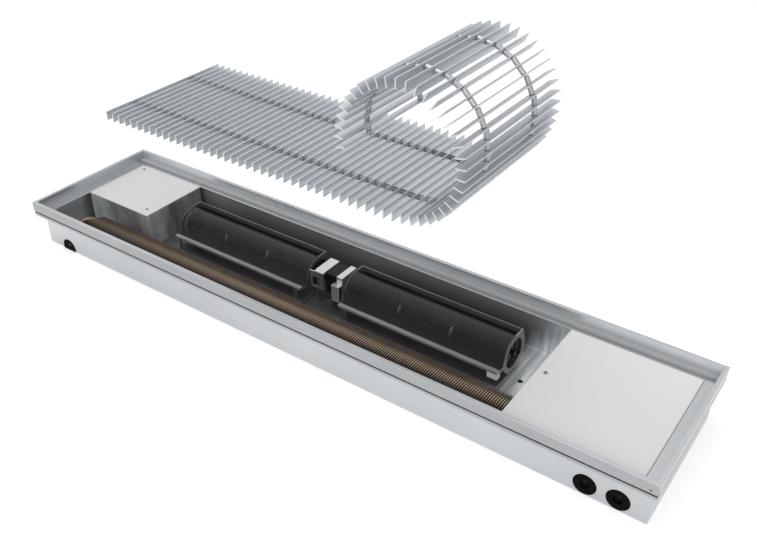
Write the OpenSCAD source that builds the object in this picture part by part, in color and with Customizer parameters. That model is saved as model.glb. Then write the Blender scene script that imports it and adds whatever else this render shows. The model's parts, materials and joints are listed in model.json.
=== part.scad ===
// Trench convector heater with a roll-up grille, shown with the grille lifted and half rolled up.
// X runs along the trench, Y away from the pipe side, Z up; the origin is the middle of the base.

/* [Trench] */
// Length over the rim
trench_l = 1500; // [1490:5:1600]
// Width over the rim
trench_w = 340; // [336:1:360]
// Height from the base to the top of the rim
trench_h = 112; // [110:1:125]
// Thickness of the casing's sheet
sheet_t = 1.5; // [1:0.1:2]
// Outer radius of the casing's folds
fold_r = 3; // [2.5:0.5:4]
// Set-back of the long casing walls from the rim's outer face
side_inset = 20; // [17:1:21]
// Set-back of the casing's ends from the rim's outer face
end_inset = 10; // [6:1:12]
// Radius of the anchor holes in the floor
anchor_r = 5.5; // [4:0.5:7]
// Distance of the anchor holes from the trench's middle line
anchor_y = 42; // [36:1:48]

/* [Rim] */
// Width of the rim's top
rim_t = 8; // [6:0.5:9]
// Depth of the grille's recess
recess_h = 25; // [24:0.5:28]
// Width of the ledge inside the rim
ledge_w = 22; // [20:1:24]
// Thickness of the ledge and of the covers that lie flush with it
ledge_t = 2; // [1.5:0.1:2.5]
// Height of the shadow groove in the outer face
groove_h = 3.5; // [2.5:0.5:4.5]
// Depth of the shadow groove
groove_d = 3; // [1.5:0.5:4]
// Height of the lip below the groove
lip_h = 5; // [4:0.5:7]
// Height of the hem below the lip
hem_h = 5; // [3:0.5:7]
// Set-back of the hem from the lip
hem_inset = 1.5; // [1:0.1:2]
// Width of the strips on which the grille rests
strip_w = 12; // [10:0.5:14]
// How far the seated grille stays below the rim's top
grille_drop = 1; // [0.5:0.1:1.5]

/* [Entries] */
// Radius of the pipe entries
pipe_hole_r = 21; // [18:0.5:22]
// Radius of the pipes that come in
pipe_r = 9; // [7:0.5:10]
// Height of the pipe entries' axes
pipe_z = 24; // [23.5:0.5:27]
// Distance of the first pipe entry from the rim's right end
pipe_1 = 62; // [58:1:66]
// Distance between the two pipe entries
pipe_gap = 58; // [54:1:66]
// Distance of the cable entry from the rim's left end
cable_in = 78; // [70:1:100]
// Radius of the cable entry
cable_hole_r = 21; // [16:1:22]
// Height of the cable entry's centre
cable_hole_z = 7; // [5:0.5:10]
// Radius of the cable's bore in its seal
cable_r = 5; // [3:0.5:6]

/* [Covers and control box] */
// Length of the right cover
cover_l = 256; // [250:1:262]
// Length of the control box
box_l = 198; // [180:1:210]
// Distance of the control box from the fins' inner side
box_clear = 30; // [24:1:42]
// Thickness of the control box's sheet
box_t = 1.2; // [1:0.1:1.5]
// Height of the lip inside each cover's edge
cover_lip = 6; // [4:0.5:8]
// Radius of the cover screws
screw_r = 1.5; // [1.2:0.1:2]
// Radius of the cover screws' heads
screw_head_r = 3.2; // [2.8:0.1:4]

/* [Heat exchanger] */
// Distance of the fins from the casing's left end
fin_start = 100; // [90:1:110]
// Distance of the last fin from the right cover
fin_end = 9; // [5:1:15]
// Pitch of the fins
fin_pitch = 5; // [4.5:0.5:9]
// Thickness of a fin
fin_t = 0.5; // [0.4:0.1:0.8]
// Width of the fins
fin_w = 76; // [70:1:80]
// Height of the fins at their sides
fin_side_h = 48; // [46:1:50]
// Height of the fins' crown over their sides
fin_crown = 9; // [4:0.5:11]
// Gap under the fins
fin_gap = 10; // [8:0.5:12]
// Outer radius of the copper tubes
tube_r = 7.5; // [6:0.5:8]
// Wall of the copper tubes
tube_t = 0.8; // [0.6:0.1:1]
// Distance between the two tube columns
tube_dy = 38; // [34:1:42]
// Distance between the two tube rows
tube_dz = 30; // [28:1:32]

/* [Fans] */
// Free length beside the fans, the mean of both ends
fan_clear = 64.35; // [62.35:0.5:104.35]
// Distance between the two fans
fan_gap = 97; // [96:1:110]
// Shift of the fans to the left of the open space's middle
fan_shift = 12.5; // [8:0.5:16]
// Distance of the fans' axis from the casing's far wall
fan_back = 89; // [80:1:92]
// Radius of the scroll housing
fan_r = 42; // [40:0.5:42.5]
// Radius of the opening in the end rings
ring_r = 32; // [31:0.5:32.5]
// Radius of the impellers
wheel_r = 29; // [26:0.5:29.5]
// Blades around each impeller
blade_count = 24; // [16:1:30]
// Radial depth of a blade
blade_d = 6.5; // [5:0.5:8]
// Thickness of a blade
blade_t = 0.8; // [0.6:0.1:1.2]
// Pitch of the guard's hoops
hoop_pitch = 6; // [5:0.5:10]
// Distance of the lip rail's front from the fans' axis
rail_out = 64; // [60:1:66]
// Radius of the fans' shafts
shaft_r = 3; // [2.5:0.25:4]

/* [Motor] */
// Length of the laminated core
core_l = 31; // [26:1:34]
// Width of the laminated core
core_w = 47; // [44:1:50]
// Height of the laminated core
core_h = 66; // [62:1:68]
// Length of the left bracket's top
bracket_l = 23; // [20:1:26]
// Length of the right bracket's top
bracket_r = 14; // [8:0.5:16]
// Radius of the rotor
rotor_r = 12; // [10:0.5:12.5]

/* [Grille] */
// Length of a slat
slat_l = 314; // [300:1:318]
// Height of a slat
slat_h = 18.5; // [16:0.5:19]
// Thickness of a slat
slat_t = 2.2; // [1.6:0.1:3]
// Pitch of the slats
pitch = 17.4; // [16:0.2:18]
// Slats in the flat part
flat_count = 40; // [20:1:44]
// Turn from one rolled slat to the next, in degrees
roll_step = 8.9; // [7:0.1:9.2]
// Radius of the spacers between the slats
spacer_r = 4.75; // [4:0.25:5.5]
// Radius of the springs inside the spacers
spring_r = 2; // [1.5:0.1:2.5]
// Distance of each spring from the grille's middle line
spring_y = 78; // [60:1:100]
// Height of the lifted grille's middle above the base
hover_z = 405; // [300:5:500]
// Distance of the lifted grille's first slat from the rim's left end
hover_x = 319; // [200:1:340]

/* [Hidden] */
$fn = 48;

// How far a cut runs past the face that it opens
over = 1;
// Gap between pieces that are fitted into each other
fit_gap = 0.1;
// Gap between pieces that are pressed or clamped together
seat_gap = 0.05;
// Radial gap of a shaft in its bush
run_gap = 0.04;

// Rim, opening and casing
rim_x = trench_l / 2;
rim_y = trench_w / 2;
rim_in = rim_t + ledge_w;
open_x = rim_x - rim_in;
open_y = rim_y - rim_in;
ledge_z = trench_h - recess_h;
ledge_low = ledge_z - ledge_t;
case_x = rim_x - end_inset;
case_y = rim_y - side_inset;
wall_y = case_y - sheet_t;
seam_y = case_y - fold_r;
flange_w = 8;
rest_gap = 3 * fit_gap;
strip_h = recess_h - slat_h - grille_drop - rest_gap;
rim_screw_in = 12.5;
rim_screw_drop = 16;
rim_screw_z = trench_h - rim_screw_drop;
rim_screw_r = 1.5;
rim_head_r = 2.4;
rim_head_h = 1.2;
rim_screw_l = 6;

// Entries
pipe_x = [rim_x - pipe_1 - pipe_gap, rim_x - pipe_1];
cable_x = -rim_x + cable_in;
seal_proud = 0.5;
seal_flange_t = 2;
seal_flange_w = 1.2;
seal_l = 5;
cable_bore_z = 14;

// Covers
cover_x = open_x - cover_l;
cover_screw_in = 16;
cover_screw_y = -4;
cover_screw = [cover_x + cover_screw_in, cover_screw_y];
cover_edge = 3 * fit_gap;
screw_head_h = 1.6;
screw_l = 11;
bearer_w = 12.5;
bearer_h = 15;
bracket_half = 20;
bracket_off = 6;
foot_l = 20;

// Control box
fin_side_gap = 2;
box_x = -open_x + cover_edge;
box_w = 2 * open_y - fin_side_gap - fin_w - box_clear;
box_y = open_y - box_w;
box_h = ledge_low - sheet_t;
pillar_r = 4;
far_screw_in = [18, 15];
near_screw_in = [23, 21];
box_screws = [[box_x + far_screw_in[0], open_y - far_screw_in[1]],
    [box_x + box_l - near_screw_in[0], box_y + near_screw_in[1]]];
cable_hole = 6;
post_r = 3;
post_h = 9;
board_l = 120;
board_w = 84;
board_t = 1.6;
board_x = box_x + box_l / 2 - board_l / 2;
board_y = box_y + box_w / 2 - board_w / 2;
board_z = sheet_t + box_t + post_h;
post_in = 6;
supply_size = [52, 38, 26];
terminal_l = 84;
terminal_w = 14;
terminal_h = 16;
terminal_ways = 8;
anchor_in = [26, 50];
anchor_x = [box_x + box_l + anchor_in[0], cover_x - anchor_in[1]];

// Heat exchanger
fin_x0 = -case_x + fin_start;
fin_x1 = cover_x - fin_end;
fin_count = floor((fin_x1 - fin_x0) / fin_pitch);
fin_y = -open_y + fin_side_gap + fin_w / 2;
fin_z = sheet_t + fin_gap;
tube_z = [pipe_z, pipe_z + tube_dz];
tube_y = [fin_y - tube_dy / 2, fin_y + tube_dy / 2];
plate_t = 1.5;
plate_foot = 14;
plate_x = [fin_x0 - fin_pitch - plate_t, fin_x0 + fin_count * fin_pitch];
tube_over = 6;
tube_x0 = plate_x[0] - tube_over;
tube_x1 = plate_x[1] + plate_t + tube_over;
valve_y = tube_y[0];
elbow_r = 14;
crown_steps = 8;

// Valves
socket_r = 12.5;
socket_l = 16;
pipe_bore_r = pipe_r + fit_gap;
bore_l = 14;
body_r = 11;
port_l = 16;
port_wall = 2;
neck_r = [8, 9];
socket_front = valve_y - socket_l;
spindle_r = 3;
spindle_house_l = 12;
spindle_head = 5;
pin_r = 1.5;
pin_travel = 3;
actuator_r = 19;
actuator_l = 48;
nut_r = 14;
nut_l = 8;
bleed_in = 70;
bleed_x = cover_x + bleed_in;
bleed_r = 6;
bleed_h = 12;
bleed_screw_r = 2.5;

// Fans
fan_y = case_y - fan_back;
pad_t = 1.5;
fan_z = sheet_t + pad_t + fan_r;
fan_mid = (box_x + box_l + cover_x) / 2 - fan_shift;
fan_l = (cover_x - box_x - box_l - fan_gap) / 2 - fan_clear;
fan_x = [fan_mid - fan_gap / 2 - fan_l, fan_mid + fan_gap / 2];
scroll_t = 1.2;
ring_t = 2;
back_angle = 50;
ring_shares = [[0.66, 1], [0.86, 0.6]];
guard_t = 1;
guard_top = 91;
guard_bend = 150;
wire_in = 1;
wire_angles = [guard_top + wire_in, 112, 132, guard_bend - wire_in];
rail_z = -5.5;
rail_face = 8.5;
rail_lip = 6;
tongue_gap = 3;
tongue_r = wheel_r + tongue_gap;
leg_w = 10;
block_size = [22, 12.5, 19];
wheel_gap = 6;
hub_r = 9;
disc_t = 2;
wheel_l = fan_l - 2 * ring_t - wheel_gap;
wheel_parts = 3;
blade_steps = 4;
blade_arc = 60;
blade_share = 0.9;
bush_r = 6;
bush_l = 4;
stub_l = 6;

// Motor
motor_shift = 10;
core_back = 16;
core_foot = 12.5;
core_x = fan_mid + motor_shift - core_l / 2;
core_y = fan_y + core_back - core_w;
core_z = sheet_t + core_foot;
motor_t = 2;
bore_gap = 0.5;
bracket_top = core_z + core_h + motor_t;
window_w = 8;
window_h = 18;
window_low = 4;
coil_t = 3;
coil_over = 4;
coil_gap = 3 * fit_gap;
coil_low = 2;
coil_h = 13;
flange_share = 0.35;
flange_out = 7;
flange_side = 12;
fold_step = 1;
hatch_share = 0.45;
hatch_h_share = 1 / 3;
hatch_in = 6;
tab_share = 0.64;
hood_size = [20, 14, 39];
hood_drop = 14;

// Grille
roll_r = pitch / (2 * sin(roll_step / 2));
hinge_r = roll_r * cos(roll_step / 2) / cos(roll_step);
line_r = roll_r * cos(roll_step / 2);
flat_x = -rim_x + hover_x;
flat_end = flat_x + (flat_count - 1) * pitch;
loop_x = flat_end + pitch / 2;
loop_z = hover_z + hinge_r;
tilt_max = 1.5 * roll_step;
face_d = hinge_r * sin(roll_step / 2) - slat_t / 2;
reach = (face_d - 2 * fit_gap - spacer_r * sin(tilt_max)) / cos(tilt_max);
edge_r = slat_t / 2;

// Profiles along X or Y, and round bars along each axis
module along_x(l) rotate([90, 0, 90]) linear_extrude(l) children();
module along_y(l) translate([0, l, 0]) rotate([90, 0, 0]) linear_extrude(l) children();
module bar_x(r, l) rotate([0, 90, 0]) cylinder(h = l, r = r);
module bar_y(r, l) rotate([-90, 0, 0]) cylinder(h = l, r = r);
module pipe_xdir(r, t, l) along_x(l) difference() {
    circle(r);
    circle(r - t);
}

// Casing
module folded_u(w, h, r) {
    translate([-w / 2, r]) square([w, h - r]);
    translate([-w / 2 + r, 0]) square([w - 2 * r, h]);
    for (s = [-1, 1]) translate([s * (w / 2 - r), r]) circle(r);
}
module floor_sheet() difference() {
    translate([-case_x + sheet_t, -seam_y, 0])
        cube([2 * (case_x - sheet_t), 2 * seam_y, sheet_t]);
    for (x = anchor_x, y = [-anchor_y, anchor_y]) translate([x, y, -over])
        cylinder(h = sheet_t + 2 * over, r = anchor_r);
}
module wall_section() {
    intersection() {
        difference() {
            folded_u(2 * case_y, ledge_low, fold_r);
            translate([0, sheet_t]) folded_u(2 * wall_y, ledge_low, fold_r - sheet_t);
        }
        translate([seam_y - over, 0]) square([fold_r + over, ledge_low]);
    }
    translate([wall_y, ledge_low - sheet_t]) square([sheet_t + flange_w, sheet_t]);
}
module side_wall() translate([-case_x + sheet_t, 0, 0]) along_x(2 * (case_x - sheet_t)) wall_section();
module near_wall() difference() {
    mirror([0, 1, 0]) side_wall();
    for (x = pipe_x) translate([x, -case_y - over, pipe_z])
        bar_y(pipe_hole_r, sheet_t + 2 * over);
    translate([cable_x, -case_y - over, cable_hole_z])
        bar_y(cable_hole_r, fold_r + 2 * over);
}
module tray() color("silver") {
    floor_sheet();
    near_wall();
    side_wall();
}
module end_plates() color("silver") for (x = [-case_x, case_x - sheet_t])
    translate([x, 0, 0]) along_x(sheet_t) folded_u(2 * case_y, ledge_low, fold_r);

// Rim rails: one profile, mitred at the corners
module rim_profile() {
    groove_top = recess_h - groove_h;
    lip_low = recess_h + lip_h;
    hem_in = hem_inset + ledge_t;
    polygon([[0, 0], [0, -groove_top], [groove_d, -groove_top], [groove_d, -recess_h],
        [0, -recess_h], [0, -lip_low], [hem_inset, -lip_low], [hem_inset, -lip_low - hem_h],
        [hem_in, -lip_low - hem_h], [hem_in, -recess_h - ledge_t], [rim_in, -recess_h - ledge_t],
        [rim_in, -recess_h], [rim_t, -recess_h], [rim_t, 0]]);
}
module mitre(a, b) linear_extrude(trench_h) polygon([[-a, -b], [a, -b],
    [a - rim_in, rim_in - b], [rim_in - a, rim_in - b]]);
module long_rail() intersection() {
    translate([-rim_x, -rim_y, trench_h]) along_x(trench_l) rim_profile();
    mitre(rim_x, rim_y);
}
module end_rail() intersection() {
    translate([-rim_x, -rim_y, trench_h]) along_y(trench_w) rim_profile();
    rotate([0, 0, -90]) mitre(rim_y, rim_x);
}
module rim_screw_place() translate([rim_x - rim_screw_in, -rim_y, rim_screw_z]) children();
module screwed_rail() difference() {
    long_rail();
    rim_screw_place() {
        translate([0, -over, 0]) bar_y(rim_head_r + fit_gap, over + rim_head_h + fit_gap);
        bar_y(rim_screw_r + seat_gap, rim_screw_l + fit_gap);
    }
}
module near_rim_rail() color("gainsboro") screwed_rail();
module far_rim_rail() color("gainsboro") mirror([0, 1, 0]) screwed_rail();
module left_rim_rail() color("gainsboro") end_rail();
module right_rim_rail() color("gainsboro") mirror([1, 0, 0]) end_rail();
module rim_screws() for (s = [0, 1]) mirror([0, s, 0]) rim_screw_place() {
    bar_y(rim_head_r, rim_head_h);
    bar_y(rim_screw_r, rim_screw_l);
}
module rest_strips() color("lightgray") for (s = [0, 1]) mirror([0, s, 0])
    translate([-rim_x + rim_t + fit_gap, -rim_y + rim_t + fit_gap, ledge_z])
        cube([trench_l - 2 * rim_t - 2 * fit_gap, strip_w, strip_h]);

// Seals of the entries
module pipe_seals() for (x = pipe_x) translate([x, -case_y, pipe_z]) difference() {
    union() {
        translate([0, -seal_proud, 0]) bar_y(pipe_hole_r - fit_gap, seal_proud + seal_l);
        translate([0, sheet_t, 0]) bar_y(pipe_hole_r + seal_flange_w, seal_flange_t);
    }
    translate([0, -over, 0]) bar_y(pipe_r, seal_l + 2 * over);
}
module cable_seal() difference() {
    intersection() {
        translate([cable_x, -case_y - seal_proud, cable_hole_z])
            bar_y(cable_hole_r - fit_gap, seal_proud + sheet_t + over - fit_gap);
        translate([cable_x - cable_hole_r, -case_y - over, 0])
            cube([2 * cable_hole_r, 2 * over + sheet_t, cable_hole_z + cable_hole_r]);
    }
    translate([cable_x, -case_y - over, cable_bore_z]) bar_y(cable_r, sheet_t + 3 * over);
}

module entry_seals() color("black") {
    pipe_seals();
    cable_seal();
}

// Covers
module screw_hole(p) translate([p[0], p[1], ledge_low - over])
    cylinder(h = ledge_t + 2 * over, r = screw_r + 2 * fit_gap);
module right_cover() {
    w = 2 * open_y - 2 * cover_edge;
    color("whitesmoke") difference() {
        union() {
            translate([cover_x, -w / 2, ledge_low]) cube([cover_l - cover_edge, w, ledge_t]);
            translate([cover_x, -w / 2, ledge_low - cover_lip]) cube([ledge_t, w, cover_lip]);
        }
        screw_hole(cover_screw);
    }
}
module box_cover() {
    w = box_w - cover_edge;
    lip_in = box_t + cover_edge;
    color("whitesmoke") difference() {
        union() {
            translate([box_x, box_y, ledge_low]) cube([box_l, w, ledge_t]);
            translate([box_x + lip_in, box_y + lip_in, ledge_low - cover_lip]) difference() {
                cube([box_l - 2 * lip_in, w - 2 * lip_in, cover_lip]);
                translate([box_t, box_t, -over])
                    cube([box_l - 2 * lip_in - 2 * box_t, w - 2 * lip_in - 2 * box_t, cover_lip + over]);
            }
        }
        for (p = box_screws) screw_hole(p);
    }
}
module cover_screws() for (p = [cover_screw, box_screws[0], box_screws[1]])
    translate([p[0], p[1], ledge_z]) {
        cylinder(h = screw_head_h, r = screw_head_r);
        translate([0, 0, -screw_l]) cylinder(h = screw_l, r = screw_r);
    }
module screws() color("dimgray") {
    rim_screws();
    cover_screws();
}
module cover_supports() color("silver") {
    for (s = [0, 1]) mirror([0, s, 0]) translate([cover_x + foot_l, -wall_y, ledge_low]) {
        translate([0, 0, -ledge_t]) cube([cover_l - 2 * foot_l, bearer_w, ledge_t]);
        translate([0, 0, -bearer_h]) cube([cover_l - 2 * foot_l, ledge_t, bearer_h]);
    }
    translate([cover_screw[0] + bracket_off, cover_screw[1] - bracket_half, sheet_t]) {
        cube([ledge_t, 2 * bracket_half, ledge_low - sheet_t]);
        cube([foot_l, 2 * bracket_half, ledge_t]);
    }
    translate([cover_x + 2 * ledge_t, cover_screw[1] - bracket_half, ledge_low - ledge_t])
        difference() {
            cube([cover_screw[0] + bracket_off - cover_x - ledge_t, 2 * bracket_half, ledge_t]);
            translate([cover_screw[0] - cover_x - 2 * ledge_t, bracket_half, -over])
                cylinder(h = ledge_t + 2 * over, r = screw_r + seat_gap);
        }
}

// Control box and what it holds
module control_box() {
    w = box_w - cover_edge;
    color("silver") {
        difference() {
            translate([box_x, box_y, sheet_t]) cube([box_l, w, box_h]);
            translate([box_x + box_t, box_y + box_t, sheet_t + box_t])
                cube([box_l - 2 * box_t, w - 2 * box_t, box_h]);
            translate([cable_x, box_y - over, cable_bore_z]) bar_y(cable_hole, box_t + 2 * over);
            translate([box_x + box_l - box_t - over, fan_y + fan_r, cable_bore_z])
                bar_x(cable_hole, box_t + 2 * over);
        }
        for (p = box_screws) translate([p[0], p[1], sheet_t]) difference() {
            cylinder(h = box_h, r = pillar_r);
            translate([0, 0, box_h - screw_l]) cylinder(h = screw_l + over, r = screw_r + seat_gap);
        }
        for (x = [post_in, board_l - post_in], y = [post_in, board_w - post_in])
            translate([board_x + x, board_y + y, sheet_t]) cylinder(h = box_t + post_h, r = post_r);
    }
}
module circuit_board() color("darkgreen") translate([board_x, board_y, board_z])
    cube([board_l, board_w, board_t]);
module power_supply() color("dimgray")
    translate([board_x + 2 * post_in, board_y + board_w - supply_size[1] - post_in, board_z + board_t])
        cube(supply_size);
module terminal_strip() color("whitesmoke") {
    way = terminal_l / terminal_ways;
    translate([board_x + (board_l - terminal_l) / 2, board_y + post_in, board_z + board_t])
        difference() {
            cube([terminal_l, terminal_w, terminal_h]);
            for (i = [0:terminal_ways - 1]) {
                translate([(i + 0.5) * way, terminal_w / 2, terminal_h / 2])
                    cylinder(h = terminal_h, r = way / 4);
                translate([(i + 0.25) * way, -over, terminal_h / 8])
                    cube([way / 2, over + terminal_w / 3, terminal_h / 4]);
            }
        }
}

// Heat exchanger
module fin_outline() difference() {
    polygon(concat([[-fin_w / 2, 0], [fin_w / 2, 0]], [for (i = [crown_steps:-1:0])
        let (t = i / crown_steps) [(t - 0.5) * fin_w, fin_side_h + fin_crown * sin(180 * t)]]));
    for (y = tube_y, z = tube_z) translate([y - fin_y, z - fin_z]) circle(tube_r + seat_gap);
}
module fin_pack() color("peru") for (i = [0:fin_count - 1])
    translate([fin_x0 + i * fin_pitch, fin_y, fin_z]) along_x(fin_t) fin_outline();
module exchanger_plates() color("silver") for (i = [0, 1]) translate([plate_x[i], 0, 0]) {
    along_x(plate_t) difference() {
        translate([fin_y - fin_w / 2, sheet_t]) square([fin_w, fin_z + fin_side_h - sheet_t]);
        for (y = tube_y, z = tube_z) translate([y, z]) circle(tube_r + seat_gap);
    }
    translate([i == 0 ? plate_t - plate_foot : 0, fin_y - fin_w / 2, sheet_t])
        cube([plate_foot, fin_w, plate_t]);
}
module exchanger_tubes() color("chocolate") {
    ends = [[pipe_x[0] - port_l, tube_x1], [pipe_x[1] - elbow_r, tube_x1]];
    for (i = [0, 1], j = [0, 1]) translate([tube_x0, tube_y[i], tube_z[j]])
        pipe_xdir(tube_r, tube_t, ends[j][i] - tube_x0);
}
module bend(r, a) rotate_extrude(angle = a) translate([r, 0]) difference() {
    circle(tube_r);
    circle(tube_r - tube_t);
}
module copper_bends() color("chocolate") {
    for (z = tube_z) translate([tube_x0, fin_y, z]) rotate([0, 0, 90]) bend(tube_dy / 2, 180);
    translate([tube_x1, tube_y[1], pipe_z + tube_dz / 2]) rotate([-90, 0, 0]) rotate([0, 0, -90])
        bend(tube_dz / 2, 180);
    translate([pipe_x[1] - elbow_r, valve_y, tube_z[1] - elbow_r]) rotate([90, 0, 0])
        bend(elbow_r, 90);
}

// Valves: the socket faces the pipe entry
module valve_socket() {
    translate([0, socket_front, 0]) bar_y(socket_r, socket_l);
    translate([0, valve_y - body_r, 0]) bar_y(body_r, 2 * body_r);
}
module pipe_bore() translate([0, socket_front - over, 0]) bar_y(pipe_bore_r, bore_l + over);
module thermostat_valve() color("silver") translate([pipe_x[1], 0, pipe_z]) difference() {
    union() {
        valve_socket();
        translate([0, valve_y, 0]) cylinder(h = port_l, r = tube_r + port_wall);
        translate([0, valve_y + body_r, 0]) bar_y(neck_r[1], spindle_house_l);
    }
    pipe_bore();
    translate([0, valve_y, port_l / 2]) cylinder(h = port_l, r = tube_r - tube_t);
    translate([0, valve_y, 0]) bar_y(pin_r + run_gap, body_r + spindle_house_l + over);
}
module valve_pin() color("gold") translate([pipe_x[1], valve_y + pin_travel + 2 * pin_r, pipe_z])
    bar_y(pin_r, body_r + spindle_house_l - 2 * pin_r);
module valve_actuator() color("whitesmoke")
    translate([pipe_x[1], valve_y + body_r + spindle_house_l + fit_gap, pipe_z]) difference() {
        union() {
            bar_y(nut_r, nut_l);
            translate([0, nut_l, 0]) bar_y(actuator_r, actuator_l - nut_l);
        }
        translate([0, -over, 0]) bar_y(2 * pin_r, over + 2 * pin_travel);
    }
module lockshield_valve() color("silver") translate([pipe_x[0], 0, pipe_z]) difference() {
    union() {
        valve_socket();
        translate([-port_l, valve_y, 0]) bar_x(tube_r + port_wall, port_l);
        translate([0, valve_y + body_r, 0]) bar_y(neck_r[0], spindle_house_l);
    }
    pipe_bore();
    translate([-port_l - over, valve_y, 0]) bar_x(tube_r - tube_t, port_l / 2 + over);
    translate([0, valve_y, 0]) bar_y(spindle_r + run_gap, body_r + spindle_house_l + over);
}
module lockshield_spindle() color("gold") translate([pipe_x[0], valve_y, pipe_z]) {
    translate([0, spindle_r, 0]) bar_y(spindle_r, body_r + spindle_house_l);
    translate([0, spindle_r + body_r + spindle_house_l, 0]) rotate([-90, 0, 0])
        cylinder(h = spindle_head, r = 2 * spindle_r / sqrt(3), $fn = 6);
}
module bleed_valve() color("silver") translate([bleed_x, valve_y, tube_z[1]]) difference() {
    cylinder(h = tube_r + bleed_h, r = bleed_r);
    translate([-2 * bleed_r, 0, 0]) bar_x(tube_r + seat_gap, 4 * bleed_r);
    translate([0, 0, tube_r + bleed_h / 2]) cylinder(h = bleed_h, r = bleed_screw_r + run_gap);
}
module bleed_screw() color("gold")
    translate([bleed_x, valve_y, tube_z[1] + tube_r + bleed_h / 2 + fit_gap]) {
        cylinder(h = bleed_h / 2, r = bleed_screw_r);
        translate([-bleed_screw_r / 2, -bleed_screw_r / 2, bleed_h / 2])
            cube([bleed_screw_r, bleed_screw_r, bleed_screw_r]);
    }

// Crossflow fans: profiles are drawn around the fans' axis
module fan_axis(x) translate([x, fan_y, fan_z]) children();
module scroll_profile() {
    difference() {
        circle(fan_r);
        circle(fan_r - scroll_t);
        polygon([[0, 0], 2 * fan_r * [cos(back_angle), sin(back_angle)],
            [-2 * fan_r, 2 * fan_r], [-2 * fan_r, -2 * fan_r], [0, -2 * fan_r]]);
    }
    translate([-rail_out, -fan_r]) square([rail_out, scroll_t]);
    translate(fan_r * [cos(back_angle), sin(back_angle)] - [scroll_t, scroll_t])
        square([scroll_t, fan_r * (1 - sin(back_angle)) + scroll_t]);
}
module ring_profile() difference() {
    union() {
        circle(fan_r);
        polygon(concat([[0, 0], [0, fan_r]], fan_r * ring_shares));
        translate([-rail_out + rail_face, rail_z - scroll_t - rail_lip])
            square([rail_out - rail_face - ring_r, rail_lip]);
        translate([-rail_out + rail_face, -fan_r]) square([rail_out - rail_face, scroll_t]);
    }
    circle(ring_r);
}
module fan_housings() color("dimgray") for (x = fan_x) fan_axis(x) {
    along_x(fan_l) scroll_profile();
    for (d = [0, fan_l - ring_t]) translate([d, 0, 0]) along_x(ring_t) ring_profile();
}
module fan_pads() color("black") for (x = fan_x, d = [0, fan_l - leg_w])
    translate([x + d, fan_y - leg_w, sheet_t]) cube([leg_w, 2 * leg_w, pad_t]);

// Guards: hoops and lengthwise wires in one curved band
guard_in = fan_r + seat_gap;
guard_foot = [-rail_out + rail_face + guard_t, rail_z + seat_gap];
bend_at = guard_in * [cos(guard_bend), sin(guard_bend)];
bend_above = guard_in * [cos(guard_bend - wire_in), sin(guard_bend - wire_in)];
module guard_band() {
    intersection() {
        difference() {
            circle(guard_in + guard_t);
            circle(guard_in);
        }
        polygon([[0, 0], 2 * fan_r * [cos(guard_top), sin(guard_top)], [0, 2 * fan_r],
            [-2 * fan_r, 2 * fan_r], 2 * fan_r * [cos(guard_bend), sin(guard_bend)]]);
    }
    polygon([bend_above, bend_above * (guard_in + guard_t) / guard_in,
        bend_at * (guard_in + guard_t) / guard_in, guard_foot - [guard_t, 0], guard_foot, bend_at]);
}
module guard_wire(a) rotate(a) translate([guard_in, -guard_t / 2]) square([guard_t, guard_t]);
hoop_count = floor((fan_l - guard_t) / hoop_pitch);
module fan_guards() color("black") for (x = fan_x) fan_axis(x) {
    for (i = [0:hoop_count]) translate([i * (fan_l - guard_t) / hoop_count, 0, 0])
        along_x(guard_t) guard_band();
    along_x(fan_l) {
        for (a = wire_angles) guard_wire(a);
        translate(guard_foot - [guard_t, 0]) square([guard_t, guard_t]);
    }
}

// Lip rails with the tongue behind them, on legs
module rail_profile() {
    front = -rail_out;
    back = -sqrt(tongue_r * tongue_r - (rail_z - scroll_t) * (rail_z - scroll_t));
    translate([front, rail_z - scroll_t]) square([back - front, scroll_t]);
    translate([front, rail_z - rail_lip]) square([scroll_t, rail_lip]);
}
module lip_rails() color("gray") for (x = fan_x) fan_axis(x) translate([ring_t + fit_gap, 0, 0])
    along_x(fan_l - 2 * ring_t - 2 * fit_gap) rail_profile();
leg_y = fan_y - rail_out + scroll_t + fit_gap;
leg_low = fan_z - fan_r + scroll_t;
leg_top = fan_z + rail_z - scroll_t;
module leg(x) translate([x, leg_y, leg_low]) cube([leg_w, scroll_t, leg_top - leg_low]);
module rail_legs() color("dimgray") {
    for (i = [0, 1]) leg(fan_x[i] + ring_t + leg_w);
    leg(fan_x[0] + fan_l - ring_t - 2 * leg_w);
}
module white_block() color("white")
    translate([fan_x[1] + fan_l - ring_t - fit_gap - block_size[0], leg_y, leg_top - block_size[2]])
        cube(block_size);

// Impellers and the rotor
module blade() {
    arc_r = blade_d * blade_share;
    inner = wheel_r - blade_d;
    pts = [for (i = [0:blade_steps]) let (t = i / blade_steps)
        [inner + blade_d * t, arc_r * (cos(blade_arc * (t - 0.5)) - 1)]];
    polygon(concat(pts, [for (i = [blade_steps:-1:0]) pts[i] + [0, -blade_t]]));
}
module wheel() {
    along_x(wheel_l) for (i = [0:blade_count - 1]) rotate(i * 360 / blade_count) blade();
    for (k = [0:wheel_parts]) translate([k * (wheel_l - disc_t) / wheel_parts, 0, 0])
        along_x(disc_t) difference() {
            circle(wheel_r + seat_gap);
            if (k > 0 && k < wheel_parts) circle(wheel_r - blade_d - disc_t);
        }
}
module impellers() color("black") {
    in_x = ring_t + wheel_gap / 2;
    difference() {
        for (x = fan_x) fan_axis(x + in_x) wheel();
        fan_axis(fan_x[0] + fan_l - ring_t - 2 * wheel_gap)
            bar_x(shaft_r + seat_gap, fan_gap + 4 * wheel_gap);
    }
    fan_axis(fan_x[0] + in_x - stub_l) bar_x(shaft_r, stub_l);
    fan_axis(fan_x[1] + in_x + wheel_l) bar_x(shaft_r, stub_l);
}
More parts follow.
